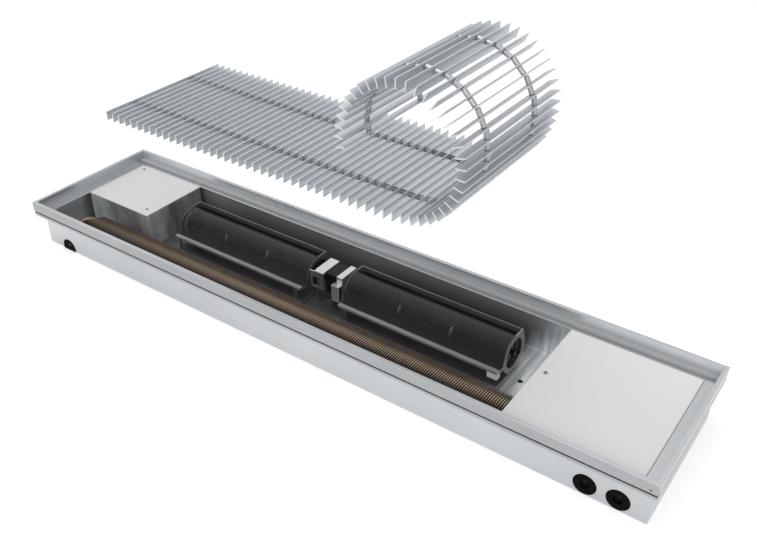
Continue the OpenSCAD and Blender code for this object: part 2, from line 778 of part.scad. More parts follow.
module motor_rotor() color("silver") fan_axis(core_x) {
    bar_x(rotor_r, core_l);
    left = fan_x[0] + fan_l - ring_t - wheel_gap - core_x;
    right = fan_x[1] + ring_t + wheel_gap - core_x;
    translate([left, 0, 0]) bar_x(shaft_r, right - left);
}
module bush() difference() {
    bar_x(bush_r, bush_l);
    translate([-over, 0, 0]) bar_x(shaft_r + run_gap, bush_l + 2 * over);
}
spider_x = [fan_x[0], fan_x[1] + fan_l - ring_t];
bush_in = (bush_l - ring_t) / 2;
bush_x = [spider_x[0] - bush_in, core_x - bracket_l, core_x + core_l + fit_gap + bracket_r - bush_l,
    spider_x[1] - bush_in];
module shaft_bushes() color("goldenrod") for (x = bush_x) fan_axis(x) bush();
module end_spiders() color("black") for (x = spider_x) fan_axis(x) along_x(ring_t) {
    difference() {
        circle(hub_r);
        circle(bush_r + seat_gap);
    }
    for (a = [90, 210, 330]) rotate(a) translate([hub_r - over, -ring_t])
        square([ring_r - seat_gap - hub_r + over, 2 * ring_t]);
}

// Motor
module motor_core() color("black") difference() {
    translate([core_x, core_y, core_z]) cube([core_l, core_w, core_h]);
    fan_axis(core_x - over) bar_x(rotor_r + bore_gap, core_l + 2 * over);
    translate([core_x - over, core_y + window_w, core_z + window_low])
        cube([core_l + 2 * over, window_w, window_h]);
}
module motor_coil() color("maroon")
    translate([core_x - coil_over, core_y - coil_gap - coil_t, core_z + window_low + coil_low])
        difference() {
            cube([core_l + 2 * coil_over, coil_t + window_w + 2 * coil_gap + coil_over, coil_h]);
            translate([coil_over - coil_gap, coil_t, -over])
                cube([core_l + 2 * coil_gap, window_w + 2 * coil_gap, coil_h + 2 * over]);
        }
module bracket(x, l, s) {
    y0 = core_y - motor_t;
    depth = core_w + 2 * motor_t;
    translate([x, 0, 0]) {
        difference() {
            translate([s > 0 ? 0 : l - motor_t, y0, sheet_t])
                cube([motor_t, depth, bracket_top - sheet_t]);
            translate([-over, fan_y, fan_z]) bar_x(bush_r + seat_gap, l + 2 * over);
        }
        translate([0, y0, bracket_top - motor_t]) cube([l, depth, motor_t]);
        translate([s > 0 ? 0 : l - foot_l, y0 + depth - foot_l, sheet_t]) cube([foot_l, foot_l, motor_t]);
    }
}
flange_x = core_x - bracket_l - flange_side;
module left_bracket() color("lightgray") difference() {
    union() {
        bracket(core_x - bracket_l, bracket_l - fit_gap, 1);
        translate([core_x - bracket_l, core_y - motor_t - flange_out, core_z + core_h - fold_step])
            cube([bracket_l - fit_gap, flange_out + motor_t, motor_t]);
        translate([flange_x, core_y - motor_t - flange_out, core_z + flange_share * core_h])
            cube([bracket_l + flange_side - fit_gap, motor_t, (1 - flange_share) * core_h - fold_step]);
    }
    translate([flange_x + hatch_in, core_y - motor_t - flange_out - over, core_z + hatch_share * core_h])
        cube([bracket_l - hatch_in, motor_t + 2 * over, hatch_h_share * core_h]);
}
module right_bracket() color("lightgray") {
    bracket(core_x + core_l + fit_gap, bracket_r, -1);
    translate([core_x + core_l + fit_gap, core_y - motor_t, core_z + tab_share * core_h])
        cube([bracket_r, motor_t, (1 - tab_share) * core_h + motor_t]);
    translate([core_x + core_l + fit_gap + bracket_r - hood_size[0], core_y - hood_size[1],
        core_z + core_h - hood_drop - hood_size[2]]) {
        cube([hood_size[0], motor_t, hood_size[2]]);
        translate([0, 0, hood_size[2] - motor_t]) cube([hood_size[0], hood_size[1] - fit_gap, motor_t]);
    }
}

// Grille: a slat stands on edge, with rounded edges and a hole for each spring
module slat_outline() {
    translate([-slat_t / 2, -slat_h / 2 + edge_r]) square([slat_t, slat_h - 2 * edge_r]);
    for (s = [-1, 1]) translate([0, s * (slat_h / 2 - edge_r)]) circle(edge_r);
}
module slat_body() translate([0, -slat_l / 2, 0]) along_y(slat_l) slat_outline();
module spring_rows() for (s = [-1, 1]) translate([0, s * spring_y, 0]) children();
module spacer(l) difference() {
    bar_x(spacer_r, l);
    translate([-over, 0, 0]) bar_x(spring_r + seat_gap, l + 2 * over);
}
module flat_frame() translate([flat_x, 0, hover_z]) children();
module grille_slats() color("silver") flat_frame() for (i = [0:flat_count - 1])
    translate([i * pitch, 0, 0]) difference() {
        slat_body();
        spring_rows() translate([-slat_t, 0, 0]) bar_x(spring_r + seat_gap, 2 * slat_t);
    }
module grille_spacers() color("darkgray") flat_frame() spring_rows() {
    for (i = [0:flat_count - 2]) translate([i * pitch + slat_t / 2, 0, 0]) spacer(pitch - slat_t);
    translate([(flat_count - 1) * pitch + slat_t / 2, 0, 0])
        spacer(pitch / 2 - slat_t / 2 + reach);
}
module grille_springs() color("gray") flat_frame() spring_rows()
    translate([-slat_t / 2, 0, 0]) bar_x(spring_r, (flat_count - 0.5) * pitch + slat_t / 2);

// One link of the rolled part: two slats on a line that ends at the link's two hinges
module link() {
    spacer_l = pitch - slat_t / cos(roll_step / 2) - 2 * spacer_r * tan(roll_step / 2) - 2 * seat_gap;
    hinge_d = hinge_r * sin(roll_step);
    outer_x = pitch / 2 + slat_t / 2 / cos(roll_step / 2) + spacer_r * tan(roll_step / 2) + seat_gap;
    color("silver") for (s = [-1, 1]) difference() {
        translate([s * pitch / 2, 0, 0]) rotate([0, -s * roll_step / 2, 0]) slat_body();
        spring_rows() translate([s * pitch / 2 - 2 * slat_t, 0, 0])
            bar_x(spring_r + seat_gap, 4 * slat_t);
    }
    color("darkgray") spring_rows() {
        translate([-spacer_l / 2, 0, 0]) spacer(spacer_l);
        translate([outer_x, 0, 0]) spacer(hinge_d + reach - outer_x);
    }
    color("gray") spring_rows() translate([-pitch / 2, 0, 0]) bar_x(spring_r, hinge_d + pitch / 2);
}
module roll(k) translate([loop_x, 0, loop_z]) rotate([0, -(2 * k - 1) * roll_step, 0])
    translate([0, 0, -line_r]) link();

tray();
end_plates();
near_rim_rail();
far_rim_rail();
left_rim_rail();
right_rim_rail();
rest_strips();
screws();
entry_seals();
right_cover();
cover_supports();
control_box();
box_cover();
circuit_board();
power_supply();
terminal_strip();
fin_pack();
exchanger_tubes();
copper_bends();
exchanger_plates();
thermostat_valve();
valve_pin();
valve_actuator();
lockshield_valve();
lockshield_spindle();
bleed_valve();
bleed_screw();
fan_housings();
fan_guards();
lip_rails();
rail_legs();
white_block();
fan_pads();
impellers();
end_spiders();
shaft_bushes();
motor_core();
motor_coil();
motor_rotor();
left_bracket();
right_bracket();
grille_slats();
grille_spacers();
grille_springs();
roll(1);  // roll_01
roll(2);  // roll_02
roll(3);  // roll_03
roll(4);  // roll_04
roll(5);  // roll_05
roll(6);  // roll_06
roll(7);  // roll_07
roll(8);  // roll_08
roll(9);  // roll_09
roll(10);  // roll_10
roll(11);  // roll_11
roll(12);  // roll_12
roll(13);  // roll_13
roll(14);  // roll_14
roll(15);  // roll_15
roll(16);  // roll_16
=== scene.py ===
import json
import math

import bmesh
import bpy
from mathutils import Matrix, Vector


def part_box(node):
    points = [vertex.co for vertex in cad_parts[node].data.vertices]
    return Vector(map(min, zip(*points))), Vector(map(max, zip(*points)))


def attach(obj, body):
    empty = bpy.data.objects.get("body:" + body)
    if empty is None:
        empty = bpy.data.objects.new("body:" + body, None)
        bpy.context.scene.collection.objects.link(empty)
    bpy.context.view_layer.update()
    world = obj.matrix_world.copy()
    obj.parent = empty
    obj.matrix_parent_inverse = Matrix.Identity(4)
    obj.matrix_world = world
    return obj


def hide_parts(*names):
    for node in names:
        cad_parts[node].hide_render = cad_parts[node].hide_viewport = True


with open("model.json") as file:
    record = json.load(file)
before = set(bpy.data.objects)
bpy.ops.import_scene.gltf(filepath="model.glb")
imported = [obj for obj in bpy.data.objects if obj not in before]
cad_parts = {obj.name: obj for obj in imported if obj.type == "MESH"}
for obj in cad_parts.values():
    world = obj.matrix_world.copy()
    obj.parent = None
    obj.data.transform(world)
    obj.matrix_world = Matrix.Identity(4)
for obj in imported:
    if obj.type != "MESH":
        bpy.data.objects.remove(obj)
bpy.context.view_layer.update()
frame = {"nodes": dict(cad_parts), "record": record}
NODES = frame["nodes"]

# Sizes of the trench heater in metres, the same as the frame's

# Rim: half its length and width, its top and its ledge
RIM_X, RIM_Y, RIM_Z, LEDGE_Z = 0.75, 0.17, 0.112, 0.087
# Height and depth of the groove above the ledge, and height of the lip below it
GROOVE_H, GROOVE_IN, LIP_H = 0.0038, 0.006, 0.005
# Where the ledge ends and the rim's inner walls begin, from the trench's middle line
LEDGE_Y, WALL_Y = 0.1621, 0.1615
# Height of the rest strips above the ledge, and the depth that still counts as an outer face
STRIP_H, SKIN = 0.0045, 0.0004
# Casing: half its inner length and width
INNER_X, INNER_Y = 0.7393, 0.1493
# Start of the painted shade line at the wide cover's right end
COVER_END_X = 0.7186
# Front flange of the left bracket: its right end and its top
FLANGE_X, FLANGE_Z = -0.0445, 0.0785

# Grille: the slats' pitch, length, height and thickness, and the angle between rolled ones
PITCH = 0.0174
SLAT_L, SLAT_H, SLAT_T = 0.314, 0.0185, 0.0022
TURN = math.radians(8.9)
# Place of the springs and radius of the spacers on them
SPRING_Y, SPACER_R = 0.078, 0.00475
# First slat's place and the lifted grille's height, number of flat slats and of rolled links
FLAT_X, HOVER_Z = -0.431, 0.405
FLAT_COUNT, LINK_COUNT = 40, 16
# Length of the stubs that end the roll, gap at the hinges, and play of the spacers between slats
STUB_L, HINGE_GAP, PLAY = 0.003, 0.0002, 0.0001

# Fans: their axis, length and left ends
FAN_Y, FAN_Z, FAN_L = 0.061, 0.045, 0.38
FAN_X = (-0.46985, 0.00715)
# Impellers: their start in the fan, their length and the thickness of their end discs
WHEEL_IN, WHEEL_L, END_DISC = 0.005, 0.37, 0.004
# Inner discs of the impellers: half the width of their shining rims, and the height they shine at
DISC_RIM, DISC_LOW, DISC_TOP = 0.0016, 0.05, 0.065
# Depth of the outer ring's face, and where the lip rail goes behind the guard's foot
RING_FACE, RAIL_Y = 0.001, 0.0058

# Fins: their middle, foot, width, height at the sides and crown, their number and first place
FIN_Y, FIN_Z, FIN_W, FIN_SIDE, FIN_CROWN = -0.1, 0.0115, 0.076, 0.048, 0.0088
FIN_COUNT, FIN_START = 219, 0.0006

# Screws: x, y and head radius of those in the covers, and the place of those in the rim's right end
COVER_SCREWS = ((0.48, -0.004, 0.004), (-0.7017, 0.125, 0.0032), (-0.5447, -0.011, 0.0032))
COVER_HEAD_H, COVER_SCREW_L = 0.0016, 0.011
RIM_SCREW_IN, RIM_SCREW_SINK, RIM_SCREW_Z = 0.0125, 0.0012, 0.096
RIM_HEAD_R, RIM_HEAD_H, RIM_SCREW_L = 0.0024, 0.0012, 0.0048
SHANK_R, SCREW_SIDES, SOCKET_SHARE = 0.0015, 24, 0.52

X, Y, Z = 0, 1, 2
UP, NEAR, FAR = (0, 0, 1), (0, -1, 0), (0, 1, 0)


# Nodes, groups and trees

FLOAT, INT, VECTOR = "NodeSocketFloat", "NodeSocketInt", "NodeSocketVector"
COLOR, MATERIAL, GEOMETRY = "NodeSocketColor", "NodeSocketMaterial", "NodeSocketGeometry"


def new_tree(name, kind, inputs, outputs):
    """A new tree with named inputs and outputs, and the sockets that stand for them inside it."""
    tree = bpy.data.node_groups.new(name, kind)
    for label, sort, value in inputs:
        sock = tree.interface.new_socket(label, in_out="INPUT", socket_type=sort)
        if value is not None:
            sock.default_value = value
    for label, sort in outputs:
        tree.interface.new_socket(label, in_out="OUTPUT", socket_type=sort)
    return tree, tree.nodes.new("NodeGroupInput").outputs, tree.nodes.new("NodeGroupOutput").inputs


def node(tree, kind, inputs=None, **settings):
    """A new node with these settings, and with a link or a value in each named input."""
    new = tree.nodes.new(kind)
    for key, value in settings.items():
        setattr(new, key, value)
    for sock, source in (inputs or {}).items():
        if isinstance(source, bpy.types.NodeSocket):
            tree.links.new(source, new.inputs[sock])
        else:
            new.inputs[sock].default_value = source
    return new


def made(tree, kind, inputs=None, **settings):
    """The first output of a new node."""
    return node(tree, kind, inputs, **settings).outputs[0]


def maths(tree, operation, a, b=0.0, c=0.0, **settings):
    return made(tree, "ShaderNodeMath", {0: a, 1: b, 2: c}, operation=operation, **settings)


def mixed(tree, share, a, b, **settings):
    """Two colours mixed by a share."""
    mix = node(tree, "ShaderNodeMix", {0: share, 6: a, 7: b}, data_type="RGBA", **settings)
    return mix.outputs[2]


def ramp(tree, value, start, end, low=0.0, high=1.0):
    """Goes from low to high while the value goes from start to end."""
    return made(tree, "ShaderNodeMapRange", {0: value, 1: start, 2: end, 3: low, 4: high})


def between(tree, value, low, high):
    """One where the value lies between two limits, else zero."""
    return maths(tree, "MULTIPLY", maths(tree, "GREATER_THAN", value, low),
                 maths(tree, "LESS_THAN", value, high))


def object_place(tree):
    return node(tree, "ShaderNodeTexCoord").outputs["Object"]


def object_axes(tree):
    return node(tree, "ShaderNodeSeparateXYZ", {0: object_place(tree)}).outputs


def rgb(r, g, b):
    return (r, g, b, 1)


def grey(level):
    return rgb(level, level, level)


# Effects that the finishes share

def grain_group():
    """Fine brushed lines: small noise drawn out along one direction."""
    g, i, o = new_tree("brushed_grain", "ShaderNodeTree", [
        ("Stretch", VECTOR, (4, 900, 900)), ("Depth", FLOAT, 0.5), ("Roughness", FLOAT, 0.3),
        ("Spread", FLOAT, 0.1)], [("Tone", FLOAT), ("Roughness", FLOAT), ("Height", FLOAT)])
    drawn = made(g, "ShaderNodeVectorMath", {0: object_place(g), 1: i["Stretch"]},
                 operation="MULTIPLY")
    lines = made(g, "ShaderNodeTexNoise", {"Vector": drawn, "Scale": 1.0, "Detail": 3.0})
    centred = maths(g, "SUBTRACT", lines, 0.5)
    g.links.new(maths(g, "MULTIPLY_ADD", centred, i["Depth"], 1.0), o["Tone"])
    g.links.new(maths(g, "MULTIPLY_ADD", centred, i["Spread"], i["Roughness"]), o["Roughness"])
    g.links.new(lines, o["Height"])
    return g


def cloud_group():
    """Slow change of tone over a sheet, as rolled and handled metal has it."""
    g, i, o = new_tree("sheet_cloud", "ShaderNodeTree", [
        ("Light", COLOR, grey(0.8)), ("Dark", COLOR, grey(0.6)), ("Size", FLOAT, 6.0),
        ("Contrast", FLOAT, 1.0)], [("Color", COLOR)])
    cloud = made(g, "ShaderNodeTexNoise", {"Vector": object_place(g), "Scale": i["Size"],
                                           "Detail": 4.0, "Roughness": 0.55})
    share = maths(g, "MULTIPLY_ADD", maths(g, "SUBTRACT", cloud, 0.5), i["Contrast"], 0.5,
                  use_clamp=True)
    g.links.new(mixed(g, share, i["Dark"], i["Light"]), o["Color"])
    return g


def edge_group():
    """Softens the edges of a piece in its normal, and lightens them where rubbed and with a painted
    highlight where they catch the light.
    """
    g, i, o = new_tree("rubbed_highlit_edge", "ShaderNodeTree", [
        ("Radius", FLOAT, 0.001), ("Wear", FLOAT, 6.0), ("Color", COLOR, grey(0.5)),
        ("Worn", COLOR, grey(0.8))], [("Color", COLOR), ("Normal", VECTOR)])
    soft = made(g, "ShaderNodeBevel", {"Radius": i["Radius"]}, samples=6)
    own = node(g, "ShaderNodeNewGeometry").outputs["Normal"]
    same = node(g, "ShaderNodeVectorMath", {0: soft, 1: own}, operation="DOT_PRODUCT")
    turned = maths(g, "SUBTRACT", 1.0, same.outputs["Value"])
    mask = maths(g, "MULTIPLY", turned, i["Wear"], use_clamp=True)
    g.links.new(mixed(g, mask, i["Color"], i["Worn"]), o["Color"])
    g.links.new(soft, o["Normal"])
    return g


def speck_group():
    """Small specks of dust and handling that lighten the colour a little."""
    g, i, o = new_tree("fine_specks", "ShaderNodeTree", [
        ("Color", COLOR, grey(0.5)), ("Speck", COLOR, grey(0.6)), ("Size", FLOAT, 900.0),
        ("From", FLOAT, 0.6), ("To", FLOAT, 0.75)], [("Color", COLOR)])
    fine = made(g, "ShaderNodeTexNoise", {"Vector": object_place(g), "Scale": i["Size"],
                                          "Detail": 2.0})
    g.links.new(mixed(g, ramp(g, fine, i["From"], i["To"]), i["Color"], i["Speck"]), o["Color"])
    return g


GRAIN, CLOUD, EDGE, SPECK = grain_group(), cloud_group(), edge_group(), speck_group()


def use(tree, group, **values):
    return node(tree, "ShaderNodeGroup", values, node_tree=group)


# Finishes

# Height of the relief of metal and of paint, and paint's edge radius, spread of gloss and bump
METAL_RELIEF, PAINT_RELIEF = 0.0002, 0.0001
PAINT_EDGE, PAINT_SPREAD, PAINT_BUMP = 0.0006, 0.12, 0.1


def new_finish(name, metallic, specular):
    mat = bpy.data.materials.new(name)
    mat.use_nodes = True
    shader = mat.node_tree.nodes["Principled BSDF"]
    shader.inputs["Metallic"].default_value = metallic
    shader.inputs["Specular IOR Level"].default_value = specular
    return mat


def dress_shader(mat, edges, grain, bump, relief):
    """Joins a finish's worn edges, its grain and the relief of that grain to the shader."""
    tree = mat.node_tree
    shader = tree.nodes["Principled BSDF"]
    raised = made(tree, "ShaderNodeBump", {"Strength": bump, "Distance": relief,
                                           "Height": grain["Height"], "Normal": edges["Normal"]})
    tree.links.new(edges["Color"], shader.inputs["Base Color"])
    tree.links.new(grain["Roughness"], shader.inputs["Roughness"])
    tree.links.new(raised, shader.inputs["Normal"])
    return mat


def shiny(name, metallic, roughness, light, dark, size=5.0, contrast=1.0, stretch=(500, 500, 500),
          depth=0.1, spread=0.1, bump=0.0, edge=0.0008, rub_and_highlight=4.0, rubbed_highlight_color=None, specular=0.5):
    """A finish of sheet or bar metal: slow tone, brushed grain, softened edges lightened where
    rubbed and by a painted highlight.
    """
    mat = new_finish(name, metallic, specular)
    tree = mat.node_tree
    cloud = use(tree, CLOUD, Light=light, Dark=dark, Size=size, Contrast=contrast).outputs
    grain = use(tree, GRAIN, Stretch=stretch, Depth=depth, Roughness=roughness,
                Spread=spread).outputs
    brushed = made(tree, "ShaderNodeVectorMath", {0: cloud["Color"], "Scale": grain["Tone"]},
                   operation="SCALE")
    edges = use(tree, EDGE, Radius=edge, Wear=rub_and_highlight, Color=brushed, Worn=rubbed_highlight_color or light).outputs
    return dress_shader(mat, edges, grain, bump, METAL_RELIEF)


def dull(name, color, speck, roughness, size=900.0, rub_and_highlight=3.0, rubbed_highlight_color=None, specular=0.5):
    """A finish of paint, plastic or rubber: specks, a fine skin and softened edges."""
    mat = new_finish(name, 0.0, specular)
    tree = mat.node_tree
    spots = use(tree, SPECK, Color=color, Speck=speck, Size=size).outputs
    edges = use(tree, EDGE, Radius=PAINT_EDGE, Wear=rub_and_highlight, Color=spots["Color"],
                Worn=rubbed_highlight_color or speck).outputs
    skin = use(tree, GRAIN, Stretch=(size * 2, size * 2, size * 2), Roughness=roughness,
               Spread=PAINT_SPREAD).outputs
    return dress_shader(mat, edges, skin, PAINT_BUMP, PAINT_RELIEF)


ALONG_X, ALONG_Y = (3, 700, 700), (700, 3, 700)
RIM_TONES = rgb(0.55, 0.565, 0.58), rgb(0.43, 0.445, 0.46)
MATS = {
    "casing": shiny("casing_sheet", 0.85, 0.3, rgb(0.57, 0.585, 0.6), rgb(0.47, 0.485, 0.5), size=3,
                    contrast=1.6, stretch=(2, 300, 300), depth=0.08, spread=0.08),
    "rim": shiny("rim_aluminium", 0.85, 0.36, *RIM_TONES, size=4, contrast=1.4, stretch=ALONG_X,
                 depth=0.3, bump=0.05),
    "end_rim": shiny("end_rim_aluminium", 0.85, 0.36, *RIM_TONES, size=4, contrast=1.4,
                     stretch=ALONG_Y, depth=0.3, bump=0.05),
    "strip": dull("rest_strip_felt", rgb(0.36, 0.37, 0.375), rgb(0.42, 0.43, 0.435), 0.7,
                  specular=0.3),
    "screw": shiny("screw_steel", 1.0, 0.35, rgb(0.28, 0.29, 0.3), rgb(0.2, 0.2, 0.21), size=40),
    "seal": dull("seal_rubber", grey(0.002), grey(0.005), 0.8, specular=0.08),
    "cover": dull("cover_paint", grey(0.79), grey(0.82), 0.5, size=500.0, rub_and_highlight=2.0,
                  rubbed_highlight_color=grey(0.87)),
    "box_cover": dull("box_cover_paint", grey(0.64), grey(0.68), 0.5, size=500.0, rub_and_highlight=2.0,
                      rubbed_highlight_color=grey(0.8)),
    "galvanised": shiny("galvanised_sheet", 0.7, 0.32, rgb(0.9, 0.92, 0.92), rgb(0.54, 0.56, 0.57),
                        size=14, contrast=2.8, stretch=(3, 200, 200), depth=0.12),
    "board": dull("circuit_board", rgb(0.02, 0.13, 0.05), rgb(0.05, 0.2, 0.09), 0.4),
    "dark_plastic": dull("dark_plastic", rgb(0.015, 0.015, 0.016), grey(0.03), 0.5),
    "white_plastic": dull("white_plastic", rgb(0.93, 0.93, 0.92), rgb(0.96, 0.96, 0.95), 0.4),
    "fins": shiny("fin_lacquer", 0.45, 0.42, rgb(0.11, 0.077, 0.055), rgb(0.06, 0.042, 0.03),
                  size=30, contrast=1.6, stretch=(300, 60, 300), depth=0.3, rub_and_highlight=0.0),
    "copper": shiny("copper_tube", 0.9, 0.42, rgb(0.19, 0.135, 0.105), rgb(0.12, 0.085, 0.065),
                    size=20, contrast=1.5, stretch=ALONG_X),
    "coil_tape": dull("coil_tape", rgb(0.03, 0.026, 0.022), rgb(0.06, 0.05, 0.042), 0.5),
    "dark_bronze": shiny("dark_bronze", 0.8, 0.5, rgb(0.05, 0.038, 0.028), rgb(0.03, 0.022, 0.017),
                         size=40),
    "spider": dull("spider_plastic", grey(0.003), grey(0.006), 0.7, rub_and_highlight=1.0, specular=0.1),
    "nickel": shiny("nickel_brass", 1.0, 0.38, rgb(0.42, 0.41, 0.39), rgb(0.34, 0.33, 0.31),
                    size=30),
    "brass": shiny("turned_brass", 1.0, 0.28, rgb(0.72, 0.53, 0.24), rgb(0.6, 0.42, 0.18), size=40),
    "fan_grey": shiny("housing_sheet", 0.5, 0.42, rgb(0.15, 0.15, 0.157), rgb(0.1, 0.1, 0.106),
                      size=12, contrast=1.2, rub_and_highlight=7.0, rubbed_highlight_color=rgb(0.55, 0.55, 0.57)),
    "guard": shiny("guard_wire", 0.55, 0.36, rgb(0.045, 0.044, 0.048), rgb(0.028, 0.028, 0.031),
                   size=20, contrast=1.4, edge=0.0002, rub_and_highlight=2.0, rubbed_highlight_color=rgb(0.12, 0.12, 0.125)),
    "lip_rail": shiny("lip_rail_sheet", 0.4, 0.4, rgb(0.35, 0.35, 0.37), rgb(0.3, 0.3, 0.32),
                      size=10, stretch=ALONG_X, rubbed_highlight_color=rgb(0.6, 0.6, 0.62)),
    "impeller": dull("impeller_plastic", rgb(0.014, 0.014, 0.016), rgb(0.03, 0.03, 0.033), 0.35,
                     rub_and_highlight=4.0, rubbed_highlight_color=rgb(0.12, 0.12, 0.125)),
    "core": shiny("core_laminations", 0.2, 0.5, rgb(0.012, 0.012, 0.013), rgb(0.006, 0.006, 0.007),
                  size=30, contrast=1.2, stretch=(1400, 3, 3), depth=0.9, specular=0.2),
    "shaft_steel": shiny("ground_steel", 1.0, 0.25, rgb(0.55, 0.55, 0.56), rgb(0.45, 0.45, 0.46),
                         size=30, stretch=ALONG_X),
    "bracket": shiny("bracket_sheet", 0.8, 0.34, rgb(0.68, 0.7, 0.72), rgb(0.55, 0.57, 0.59),
                     size=22, contrast=1.6, stretch=ALONG_Y, depth=0.12),
    "slat": shiny("slat_anodised", 0.75, 0.4, rgb(0.6, 0.63, 0.66), rgb(0.54, 0.57, 0.6), size=9,
                  stretch=ALONG_Y, bump=0.03, edge=0.0006, rub_and_highlight=5.0, rubbed_highlight_color=rgb(0.82, 0.84, 0.86)),
    # The same spacer tube twice: darker in the flat part as painted shade between the slats,
    # lighter in the roll as painted light
    "spacer": shiny("spacer_tube", 0.8, 0.38, rgb(0.24, 0.25, 0.27), rgb(0.18, 0.19, 0.2), size=14,
                    stretch=ALONG_X, rubbed_highlight_color=rgb(0.4, 0.42, 0.44)),
    "lit_loop_spacer": shiny("loop_spacer_tube", 0.8, 0.38, rgb(0.42, 0.435, 0.45),
                         rgb(0.35, 0.36, 0.38), size=14, stretch=ALONG_X,
                         rubbed_highlight_color=rgb(0.56, 0.58, 0.6)),
}


# Painted light and shade that a piece has from its place in the trench

def color_socket(mat):
    return mat.node_tree.nodes["Principled BSDF"].inputs["Base Color"]


def scale_color(mat, factor):
    """Multiplies the material's colour by a value that changes over the surface."""
    tree, color = mat.node_tree, color_socket(mat)
    scaled = made(tree, "ShaderNodeVectorMath", {0: color.links[0].from_socket, "Scale": factor},
                  operation="SCALE")
    tree.links.new(scaled, color)


def lighten(mat, mask, light):
    """Mixes the material's colour with a lighter one where the mask is one."""
    color = color_socket(mat)
    mat.node_tree.links.new(mixed(mat.node_tree, mask, color.links[0].from_socket, light), color)


def tone(mat, mask, share):
    """Multiplies the material's colour by a share where the mask is one."""
    scale_color(mat, ramp(mat.node_tree, mask, 0.0, 1.0, 1.0, share))


def tone_beyond(mat, axis, start, share):
    """Tones what lies beyond a place along an axis."""
    tree = mat.node_tree
    tone(mat, maths(tree, "GREATER_THAN", object_axes(tree)[axis], start), share)


def tone_along(mat, axis, start, end, share):
    """Tones a piece more and more from one place to another along an axis."""
    tree = mat.node_tree
    tone(mat, ramp(tree, object_axes(tree)[axis], start, end), share)


# Ramps over the pieces: first place, last place, and the tones at both unless they are 0 and 1

# Painted shade and light on the casing's inner faces: up from the floor, at both ends, at the foot
# and on the near side
FLOOR_RAMP = (0.004, LEDGE_Z)
RIGHT_RAMP, LEFT_RAMP = (0.36, 0.4, 0.0, 1.15), (-0.6, -0.7, 0.0, 0.6)
FOOT_RAMP, NEAR_RAMP = (0.01, 0.05, 1.0, 0.55), (-0.06, 0.03, 0.15, 1.0)
# The painted highlight on the fins' folded edge by its depth below the crown, by the crown's curve
# and along the trench
CREST_DEPTH, CREST_RIDGE = (0.0028, 0.0012), (0.72, 0.98, 0.06, 0.8)
CREST_LENGTH = (-0.64, -0.1, 0.3, 1.0)
# Painted shade on the control box's side towards the fan, painted shade and light on the fins' two
# slopes, and painted sheen on the guard's top
BOX_SHADE, GUARD_SHEEN = (-0.015, 0.05), (0.072, 0.085)
NEAR_SLOPE, FAR_SLOPE = (FIN_Y, FIN_Y - 0.013), (FIN_Y, FIN_Y + 0.018)
# How the painted glints on the casing and the painted reflection streaks on the zinc are drawn out
GLINTS, REFLECTION_STREAKS = (60, 4, 4), (26, 26, 5)


def inner_painted_shade_and_glints(mat, low, high, rough):
    """The casing's inner faces get painted shade towards the floor, painted light at both ends with
    painted glints at the right, and are duller.
    """
    tree = mat.node_tree
    x, y, z = object_axes(tree)
    inside = maths(tree, "MULTIPLY", between(tree, x, -INNER_X, INNER_X),
                   between(tree, y, -INNER_Y, INNER_Y))
    glints = use(tree, GRAIN, Stretch=GLINTS, Depth=3.0).outputs["Tone"]
    right = maths(tree, "MULTIPLY", ramp(tree, x, *RIGHT_RAMP), glints)
    right = maths(tree, "MULTIPLY", right, ramp(tree, z, *FOOT_RAMP))
    right = maths(tree, "MULTIPLY", right, ramp(tree, y, *NEAR_RAMP))
    ends = maths(tree, "MAXIMUM", ramp(tree, x, *LEFT_RAMP), right)
    climb = maths(tree, "MAXIMUM", ramp(tree, z, *FLOOR_RAMP), ends)
    shade = mixed(tree, inside, grey(1), mixed(tree, climb, low, high, clamp_factor=False))
    color = color_socket(mat)
    shaded = mixed(tree, 1.0, color.links[0].from_socket, shade, blend_type="MULTIPLY")
    tree.links.new(shaded, color)
    dullness = tree.nodes["Principled BSDF"].inputs["Roughness"]
    more = maths(tree, "MULTIPLY_ADD", inside, rough, dullness.links[0].from_socket)
    tree.links.new(more, dullness)


def groove_painted_shade(mat, share):
    """Painted shade darkens the inside of the shadow groove in the rim's outer face."""
    tree = mat.node_tree
    x, y, z = object_axes(tree)
    depth = [maths(tree, "SUBTRACT", maths(tree, "ABSOLUTE", value), reach)
             for value, reach in ((x, RIM_X), (y, RIM_Y))]
    mask = maths(tree, "MULTIPLY", between(tree, maths(tree, "MAXIMUM", *depth), -GROOVE_IN, -SKIN),
                 between(tree, z, LEDGE_Z - SKIN, LEDGE_Z + GROOVE_H))
    tone(mat, mask, share)


def ledge_painted_shade(mat, share):
    """Painted shade on the ledge under the grille, a little darker than the rim's walls."""
    tree = mat.node_tree
    y, z = object_axes(tree)[1:]
    tone(mat, maths(tree, "MULTIPLY", maths(tree, "LESS_THAN", z, LEDGE_Z + SKIN),
                    between(tree, y, -LEDGE_Y, LEDGE_Y)), share)


def rim_faces(mat, outer, inner):
    """The rim's outer face lies in the shade of its edge, and its inner wall faces the light."""
    tree = mat.node_tree
    y, z = object_axes(tree)[1:]
    away = maths(tree, "ABSOLUTE", y)
    for near, far, low, share in ((RIM_Y - SKIN, 1.0, LEDGE_Z - LIP_H, outer),
                                  (WALL_Y, RIM_Y - SKIN, LEDGE_Z + STRIP_H, inner)):
        tone(mat, maths(tree, "MULTIPLY", between(tree, away, near, far),
                        between(tree, z, low, RIM_Z - SKIN)), share)


def side_flange(mat, share):
    """The left bracket's front flange, in the shade of its top."""
    tree = mat.node_tree
    axes = object_axes(tree)
    tone(mat, maths(tree, "MULTIPLY", maths(tree, "LESS_THAN", axes[X], FLANGE_X),
                    maths(tree, "LESS_THAN", axes[Z], FLANGE_Z)), share)


